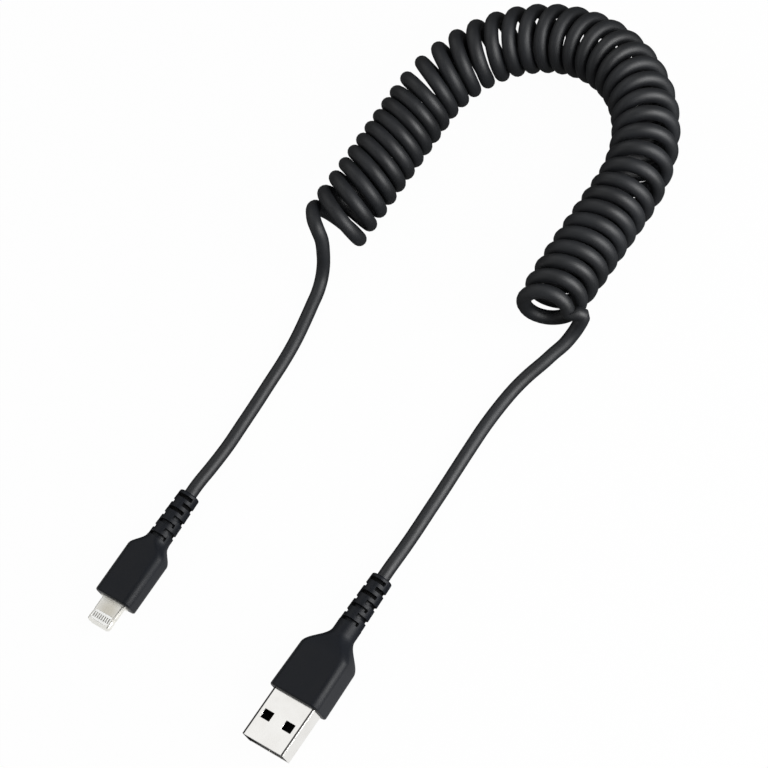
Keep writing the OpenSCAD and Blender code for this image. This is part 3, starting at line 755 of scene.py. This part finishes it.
class Loft:
    """Closed skin through rings that all have the same columns."""

    def __init__(self, columns: int) -> None:
        """Starts an empty skin.

        Args:
            columns: The number of points on each ring.
        """
        self.mesh = bmesh.new()
        self.columns = columns
        self.column = self.mesh.verts.layers.int.new("column")
        # depth into the grooves, which the grip's finish turns into painted shade
        self.groove = self.mesh.verts.layers.float.new(GROOVE)
        self.first: list[bmesh.types.BMEdge] = []
        self.last: list[bmesh.types.BMEdge] = []

    def ring(self, y: float, outline: Outline, skin: float = 0.0) -> None:
        """Adds one ring after the last one.

        Args:
            y: The ring's place along the plug.
            outline: Gives x and z for an angle in radians.
            skin: The radius of the outside where the ring crosses a groove, and else 0.
        """
        if not self.last:
            made = bmesh.ops.create_circle(self.mesh, segments=self.columns, radius=1.0)
            verts = made["verts"]
            for vert in verts:
                share = math.atan2(vert.co.y, vert.co.x) / (2 * math.pi)
                vert[self.column] = round(share * self.columns) % self.columns
            self.first = self.last = list(self.mesh.edges)
        else:
            verts, self.last = extruded(self.mesh, self.last)
        for vert in verts:
            x, z = outline(2 * math.pi * vert[self.column] / self.columns)
            vert.co = (x, y, z)
            vert[self.groove] = 1 - math.hypot(x, z) / skin if skin else 0.0

    def close(self, place: Vector) -> Mesh:
        """Joins the last ring to the first and moves the skin to its place.

        Args:
            place: Where the origin of the rings goes.

        Returns:
            The finished mesh.
        """
        bmesh.ops.bridge_loops(self.mesh, edges=self.first + self.last)
        bmesh.ops.recalc_face_normals(self.mesh, faces=self.mesh.faces)
        bmesh.ops.translate(self.mesh, verts=self.mesh.verts, vec=place)
        return self.mesh


def rounded(half_w: float, half_t: float, corner: float) -> Outline:
    """Outline of a rectangle with round corners, with one column on the middle of each side.

    Args:
        half_w: Half the width.
        half_t: Half the thickness.
        corner: The radius of the corners.

    Returns:
        The outline.
    """
    r = min(corner, half_w, half_t)

    def sign(value: float) -> int:
        """-1, 0 or 1."""
        return 0 if abs(value) < NEAR else (1 if value > 0 else -1)

    def outline(angle: float) -> Pair:
        """Point at an angle."""
        c, s = math.cos(angle), math.sin(angle)
        return (half_w - r) * sign(c) + r * c, (half_t - r) * sign(s) + r * s

    return outline


def circle(radius: float) -> Outline:
    """Round outline."""
    return rounded(radius, radius, radius)


def quarter_round(radius: float, steps: int) -> list[Pair]:
    """Points of a quarter circle, each as its distance from the two sides of the corner."""
    angles = [math.pi / 2 * step / steps for step in range(steps + 1)]
    return [(radius * (1 - math.cos(angle)), radius * (1 - math.sin(angle))) for angle in angles]


@dataclass
class StrainRelief:
    """Tapered sleeve behind a moulding, slotted in turn above and below, then left and right."""

    length: float
    neck_radius: float = 2.85 * MM
    exit_radius: float = 2.55 * MM
    levels: int = 7
    spacing: float = 1.8 * MM
    slot_width: float = 0.85 * MM
    last_setback: float = 1.35 * MM
    floor_radius: float = 1.75 * MM
    reach: float = math.radians(60)
    wall_run: float = math.radians(2.5)
    lip: float = 0.06 * MM
    lip_curve: tuple[Pair, ...] = (
        (1.0, 0.0), (1 / 3, 0.07), (-1 / 4, 0.9), (-1.0, 1.0))
    neck_margin: float = 0.15 * MM
    end_round: float = 0.45 * MM
    end_steps: int = 5
    bore: float = 1.53 * MM
    bore_lip: float = 0.12 * MM

    @property
    def start(self) -> float:
        """Where the neck ends and the sleeve starts."""
        slots = (self.levels - 1) * self.spacing + self.slot_width / 2
        return self.length - self.last_setback - slots - self.neck_margin

    def radius(self, y: float) -> float:
        """Outer radius of the sleeve at y."""
        share = (y - self.start) / (self.length - self.end_round - self.start)
        return self.neck_radius + (self.exit_radius - self.neck_radius) * clamp(share, 0.0, 1.0)

    def slotted(self, y: float, depth: float, side: SlotSide) -> Outline:
        """Outline across a slot.

        Args:
            y: The ring's place along the plug.
            depth: 0 outside the slot and 1 on its floor.
            side: The pair of sides that is slotted.

        Returns:
            The outline.
        """
        outer = self.radius(y)

        def outline(angle: float) -> Pair:
            """Point at an angle."""
            off = abs((angle - side.value + math.pi / 2) % math.pi - math.pi / 2)
            cut = ease(clamp((self.reach + self.wall_run - off) / (2 * self.wall_run), 0.0, 1.0))
            r = outer + (self.floor_radius - outer) * depth * cut
            return r * math.cos(angle), r * math.sin(angle)

        return outline

    def add_rings(self, loft: Loft) -> None:
        """Adds the sleeve's outside, its end face and its bore's lip to a moulding."""
        half = self.slot_width / 2
        profile = [(half + self.lip * share, depth) for share, depth in self.lip_curve]
        loft.ring(self.start, circle(self.radius(self.start)))
        for level in reversed(range(self.levels)):
            middle = self.length - self.last_setback - level * self.spacing
            side = SlotSide.TOP_AND_BOTTOM if level % 2 == 0 else SlotSide.LEFT_AND_RIGHT
            near = [(middle - off, depth) for off, depth in profile]
            far = [(middle + off, depth) for off, depth in reversed(profile)]
            for y, depth in near + far:
                loft.ring(y, self.slotted(y, depth, side), self.radius(y))
        for inset, back in quarter_round(self.end_round, self.end_steps):
            loft.ring(self.length - back, circle(self.exit_radius - inset))
        loft.ring(self.length, circle(self.bore + self.bore_lip))
        loft.ring(self.length - self.bore_lip, circle(self.bore))


@dataclass(frozen=True)
class Hollow:
    """One step of the room inside a moulding, from its front to where the next step starts."""

    front: float
    back: float
    half_w: float
    half_t: float
    corner: float


@dataclass
class Moulding:
    """Overmould of one plug with its strain relief, as one closed skin."""

    name: str
    node: str
    place: Vector
    front_w: float
    back_w: float
    thickness: float
    edge: float
    shoulder_start: float
    neck: float
    relief: StrainRelief
    hollows: tuple[Hollow, ...]
    neck_step: float = 0.05 * MM
    front_round: float = 0.45 * MM
    columns: int = 144
    front_steps: int = 6
    body_steps: int = 6
    shoulder_steps: int = 26

    def add_front(self, loft: Loft) -> None:
        """Adds the front face and its rounded edge."""
        for back, inset in quarter_round(self.front_round, self.front_steps):
            loft.ring(back, rounded(self.front_w / 2 - inset, self.thickness / 2 - inset,
                                    self.edge - inset))

    def add_body(self, loft: Loft) -> None:
        """Adds the grip, which narrows a little, and the shoulder that eases into the neck."""
        for step in range(1, self.body_steps):
            share = step / self.body_steps
            y = self.front_round + (self.shoulder_start - self.front_round) * share
            half_w = (self.front_w + (self.back_w - self.front_w) * share) / 2
            loft.ring(y, rounded(half_w, self.thickness / 2, self.edge))
        neck_r = self.relief.neck_radius + self.neck_step
        shoulder_end = self.relief.start - self.neck
        for step in range(self.shoulder_steps + 1):
            share = step / self.shoulder_steps
            eased = ease(share)
            loft.ring(self.shoulder_start + (shoulder_end - self.shoulder_start) * share,
                      rounded(self.back_w / 2 + (neck_r - self.back_w / 2) * eased,
                              self.thickness / 2 + (neck_r - self.thickness / 2) * eased,
                              self.edge + (neck_r - self.edge) * eased))
        loft.ring(self.relief.start, circle(neck_r))

    def build(self, workshop: Workshop) -> None:
        """Makes the moulding.

        Args:
            workshop: Dresses the piece.
        """
        loft = Loft(self.columns)
        for step in reversed(self.hollows):
            outline = rounded(step.half_w, step.half_t, step.corner)
            loft.ring(step.back, outline)
            loft.ring(step.front, outline)
        self.add_front(loft)
        self.add_body(loft)
        self.relief.add_rings(loft)
        workshop.make(loft.close(self.place), self.name, "overmould_black", [self.node])


# ---- Plugs ---------------
@dataclass
class TypeAPlug:
    """Flat rectangular plug: a folded shell with latch windows in a moulded grip."""

    place: Vector = field(default_factory=lambda: Vector((26.7, -10.5, 3.9)) * MM)
    shell_w: float = 12.0 * MM
    shell_t: float = 4.5 * MM
    wall: float = 0.3 * MM
    corner: float = 0.65 * MM
    reach: float = 12.3 * MM
    root: float = 6.4 * MM
    window_w: float = 2.6 * MM
    window_l: float = 2.2 * MM
    window_spacing: float = 6.2 * MM
    window_setback: float = 5.05 * MM
    seam: float = 0.12 * MM
    corner_steps: int = 6
    edge_round: float = 0.07 * MM
    edge_steps: int = 2
    edge_angle: float = math.radians(50)
    fit: float = 0.03 * MM

    @property
    def window_span(self) -> Pair:
        """Where a window starts and ends, across from the shell's middle."""
        return (self.window_spacing - self.window_w) / 2, (self.window_spacing + self.window_w) / 2

    def moulding(self) -> Moulding:
        """The grip round the shell's root, the block, the crimp and the cord."""
        fit = self.fit
        return Moulding(
            name="type_a_grip", node="type_a_overmould", place=self.place, front_w=14.0 * MM,
            back_w=13.4 * MM, thickness=7.8 * MM, edge=2.0 * MM, shoulder_start=11.5 * MM,
            neck=2.5 * MM,
            relief=StrainRelief(length=33.3 * MM),
            hollows=(
                Hollow(0.0, 6.43 * MM, self.shell_w / 2 + fit, self.shell_t / 2 + fit,
                       self.corner + fit),
                Hollow(6.43 * MM, 12.06 * MM, 5.53 * MM, 2.63 * MM, 0.05 * MM),
                Hollow(12.06 * MM, 14.69 * MM, 2.18 * MM, 2.18 * MM, 2.18 * MM),
            ))

    def profile(self, mesh: Mesh) -> list[bmesh.types.BMEdge]:
        """Draws the open outline of the shell's outside at its mouth, from seam to seam.

        Args:
            mesh: The mesh that the outline goes into.

        Returns:
            The edges of the outline.
        """
        half_w, half_t = self.shell_w / 2, self.shell_t / 2
        near, far = self.window_span
        underside = [(self.seam / 2, -half_t), (near, -half_t), (far, -half_t), (half_w, -half_t)]
        top = [(half_w, half_t), (far, half_t), (near, half_t)]
        right = underside + top
        left = [(-x, z) for x, z in reversed(right)]
        verts = [mesh.verts.new((x, -self.reach, z)) for x, z in right + left]
        return [mesh.edges.new(pair) for pair in zip(verts, verts[1:])]

    def shell_mesh(self) -> Mesh:
        """Folds the shell: outline, four lengths, round corners, then windows; build gives it its
        wall.
        """
        mesh = bmesh.new()
        edges = self.profile(mesh)
        window_front = self.window_setback - self.reach
        lengths = (window_front, window_front + self.window_l, 0.0, self.root)
        y = -self.reach
        for stop in lengths:
            verts, edges = extruded(mesh, edges)
            bmesh.ops.translate(mesh, verts=verts, vec=(0.0, stop - y, 0.0))
            y = stop
        half_w, half_t = self.shell_w / 2, self.shell_t / 2
        folds = [e for e in mesh.edges
                 if all(abs(abs(v.co.x) - half_w) < NEAR and abs(abs(v.co.z) - half_t) < NEAR
                        for v in e.verts)]
        bmesh.ops.bevel(mesh, geom=folds, offset=self.corner, segments=self.corner_steps,
                        profile=0.5, affect="EDGES", material=-1, offset_type="OFFSET")
        near, far = self.window_span
        windows = []
        for face in mesh.faces:
            middle = face.calc_center_median()
            if (near < abs(middle.x) < far and abs(middle.z) > half_t - NEAR
                    and window_front < middle.y < window_front + self.window_l):
                windows.append(face)
        bmesh.ops.delete(mesh, geom=windows, context="FACES")
        bmesh.ops.recalc_face_normals(mesh, faces=mesh.faces)
        if sum(f.normal.z * f.calc_center_median().z for f in mesh.faces) < 0:
            bmesh.ops.reverse_faces(mesh, faces=mesh.faces)
        bmesh.ops.translate(mesh, verts=mesh.verts, vec=self.place)
        return mesh

    def build(self, workshop: Workshop) -> None:
        """Makes the grip and the shell."""
        self.moulding().build(workshop)
        shell = workshop.make(self.shell_mesh(), "type_a_folded_shell", "shell_nickel",
                              ["type_a_shell"])
        weighted = shell.modifiers["weighted_normals"]
        wall = shell.modifiers.new("wall", "SOLIDIFY")
        wall.thickness = self.wall
        wall.offset = -1.0
        wall.use_even_offset = True
        rounding = shell.modifiers.new("edges", "BEVEL")
        rounding.width = self.edge_round
        rounding.segments = self.edge_steps
        rounding.limit_method = "ANGLE"
        rounding.angle_limit = self.edge_angle
        shell.modifiers.move(shell.modifiers.find(weighted.name), len(shell.modifiers) - 1)


@dataclass
class TipPlug:
    """Slim reversible plug: a metal frame round a white insert with eight contacts a side."""

    place: Vector = field(default_factory=lambda: Vector((-28.7, -11.3, 2.9)) * MM)
    frame_break: float = 0.06 * MM
    contact_break: float = 0.05 * MM
    break_steps: int = 2
    sharp_angle: float = math.radians(40)
    flat_angle: float = math.radians(1)
    weld: float = 0.001 * MM

    def moulding(self) -> Moulding:
        """The grip round the frame's root, the can, the block, the crimp and the cord."""
        return Moulding(
            name="tip_grip", node="tip_overmould", place=self.place, front_w=10.6 * MM,
            back_w=10.6 * MM, thickness=5.8 * MM, edge=2.0 * MM, shoulder_start=12.8 * MM,
            neck=0.1 * MM,
            relief=StrainRelief(length=29.9 * MM),
            hollows=(
                Hollow(0.0, 2.23 * MM, 3.88 * MM, 1.18 * MM, 0.63 * MM),
                Hollow(2.23 * MM, 4.4 * MM, 3.38 * MM, 0.78 * MM, 0.05 * MM),
                Hollow(4.4 * MM, 9.26 * MM, 3.93 * MM, 1.83 * MM, 0.05 * MM),
                Hollow(9.26 * MM, 12.22 * MM, 3.63 * MM, 1.83 * MM, 0.05 * MM),
                Hollow(12.22 * MM, 14.82 * MM, 2.18 * MM, 2.18 * MM, 2.18 * MM),
            ))

    def refine(self, node: str, name: str, slot: str, width: float, workshop: Workshop) -> None:
        """Copies a CAD node, merges its triangles and breaks its sharp edges.

        Args:
            node: The CAD node.
            name: The piece's name.
            slot: The material slot that it takes its finish from.
            width: How far its edges are broken.
            workshop: Dresses the piece.
        """
        mesh = bmesh.new()
        mesh.from_mesh(frame["nodes"][node].data)
        bmesh.ops.remove_doubles(mesh, verts=mesh.verts, dist=self.weld)
        bmesh.ops.dissolve_limit(mesh, angle_limit=self.flat_angle, verts=mesh.verts,
                                 edges=mesh.edges)
        sharp = [e for e in mesh.edges if e.is_manifold and e.calc_face_angle() > self.sharp_angle]
        bmesh.ops.bevel(mesh, geom=sharp, offset=width, segments=self.break_steps, profile=0.5,
                        affect="EDGES", material=-1, clamp_overlap=True)
        workshop.make(mesh, name, slot, [node])

    def build(self, workshop: Workshop) -> None:
        """Makes the grip, the frame, the insert and both rows of contacts."""
        self.moulding().build(workshop)
        for node, name, slot, width in (
                ("tip_frame", "tip_polished_frame", "frame_steel", self.frame_break),
                ("tip_insert", "tip_white_insert", "insert_white", self.contact_break),
                ("tip_top_contacts", "tip_upper_contacts", "contact_plated", self.contact_break),
                ("tip_bottom_contacts", "tip_lower_contacts", "contact_plated",
                 self.contact_break)):
            self.refine(node, name, slot, width, workshop)


# ---- Studio --------------
@dataclass
class Softbox:
    """A rectangular lamp that faces the middle of the cable."""

    name: str
    direction: Point
    distance: float
    width: float
    height: float
    power: float

    def build(self, target: Vector) -> None:
        """Hangs the lamp in its direction from the target."""
        data = bpy.data.lights.new(self.name, "AREA")
        data.shape = "RECTANGLE"
        data.size = self.width
        data.size_y = self.height
        data.energy = self.power
        away = Vector(self.direction).normalized()
        turn = away.to_track_quat("Z", "Y").to_matrix().to_4x4()
        lamp = placed(self.name, data)
        lamp.matrix_world = Matrix.Translation(target + away * self.distance) @ turn


@dataclass
class Studio:
    """Camera, pale floor, world and lamps."""

    camera_place: Point = (0.47097, -0.13061, 0.73819)
    azimuth: float = 67.81
    elevation: float = 55.16
    roll: float = -36.5
    lens: float = 185.17
    sensor: float = 36.0
    nearest: float = 0.01
    target: Point = (0.0, 0.06, 0.0)
    floor_size: float = 6.0
    floor_drop: float = 0.05 * MM
    floor_paint: Colour = (0.7, 0.7, 0.7)
    floor_glow: float = 0.975
    card_on_floor: float = 0.92
    bare_floor: float = 0.1
    card_end: float = 0.0
    card_fade: float = 12 * MM
    ambient: float = 0.45
    lamps: tuple[Softbox, ...] = (
        Softbox("key", (0.92, 0.27, 0.37), 0.53, 0.35, 0.45, 4.6),
        Softbox("fill", (-0.5, -0.6, 0.6), 0.9, 0.6, 0.6, 0.8),
    )
    card_direction: Point = (-0.53, 0.22, 0.82)
    card_radius: float = math.radians(25)
    card_edge: float = math.radians(6)
    dim_room: float = 0.1

    def build_camera(self) -> None:
        """Places the camera by its azimuth, elevation and roll."""
        data = bpy.data.cameras.new("camera")
        data.sensor_width = self.sensor
        data.lens = self.lens
        data.clip_start = self.nearest
        camera = placed("camera", data)
        camera.matrix_world = (
            Matrix.Translation(self.camera_place)
            @ Matrix.Rotation(math.radians(self.azimuth), 4, "Z")
            @ Matrix.Rotation(math.radians(90 - self.elevation), 4, "X")
            @ Matrix.Rotation(math.radians(self.roll), 4, "Z"))
        bpy.context.scene.camera = camera

    def rays(self, graph: Graph) -> tuple[Value, Value]:
        """1 for rays that see the set as it is painted, and 1 for rays that the gloss sends."""
        path = graph.node("LightPath").outputs
        camera, through, mirrored = (Value(graph, path[f"Is {kind} Ray"])
                                     for kind in ("Camera", "Transmission", "Glossy"))
        return graph.maths("MINIMUM", camera + through, 1.0), mirrored

    def build_floor(self) -> None:
        """Lays the floor, which keeps part of the cable's shadow.

        The gloss sees a white card under the plugs' metal and a dim floor behind it.
        """
        mesh = bmesh.new()
        bmesh.ops.create_grid(mesh, x_segments=1, y_segments=1, size=self.floor_size / 2)
        bmesh.ops.translate(mesh, verts=mesh.verts, vec=(0.0, 0.0, -self.floor_drop))
        floor = placed("floor", baked("floor", mesh))
        material = bpy.data.materials.new("floor_paper")
        graph = Graph(material)
        direct, mirrored = self.rays(graph)
        along = graph.cosine(graph.coordinates(), (0.0, 1.0, 0.0))
        behind = along.clear_of(self.card_end, self.card_end + self.card_fade)
        card = self.card_on_floor + (self.bare_floor - self.card_on_floor) * behind
        paint = graph.node("BsdfDiffuse", None, {"Color": (*self.floor_paint, 1.0)})
        glow = graph.node("Emission", None,
                          {"Color": graph.grey(direct + mirrored * card)})
        mixed = graph.node("MixShader", None,
                           {0: direct * self.floor_glow + mirrored, 1: paint.outputs[0],
                            2: glow.outputs[0]})
        graph.node("OutputMaterial", None, {"Surface": mixed.outputs[0]})
        floor.data.materials.append(material)

    def build_world(self) -> None:
        """Paints the world white, and lets it light the cable at the ambient level.

        The gloss sees a round white card over the cable in a dim room.
        """
        world = bpy.data.worlds.new("studio")
        bpy.context.scene.world = world
        graph = Graph(world)
        direct, mirrored = self.rays(graph)
        ray = graph.node("TexCoord").outputs["Generated"]
        card = graph.cosine(ray, self.card_direction).clear_of(
            math.cos(self.card_radius + self.card_edge),
            math.cos(self.card_radius - self.card_edge))
        room = self.dim_room + (1.0 - self.dim_room) * card
        level = self.ambient * (1.0 - direct - mirrored) + direct + mirrored * room
        sky = graph.node("Background", None, {"Color": graph.grey(level)})
        graph.node("OutputWorld", None, {"Surface": sky.outputs[0]})

    def build_lamps(self) -> None:
        """Hangs the lamps and sets the plain view transform."""
        for lamp in self.lamps:
            lamp.build(Vector(self.target))
        bpy.context.scene.view_settings.view_transform = "Standard"


def main() -> None:
    """Builds the camera, the cord, the plugs and the studio, in that order."""
    logging.basicConfig(level=logging.INFO, format="%(name)s: %(message)s")
    studio = Studio()
    studio.build_camera()
    workshop = Workshop()
    CurlyCord().build(workshop)
    TypeAPlug().build(workshop)
    TipPlug().build(workshop)
    workshop.dress_frame()
    studio.build_floor()
    studio.build_world()
    studio.build_lamps()


if __name__ == "__main__":
    main()
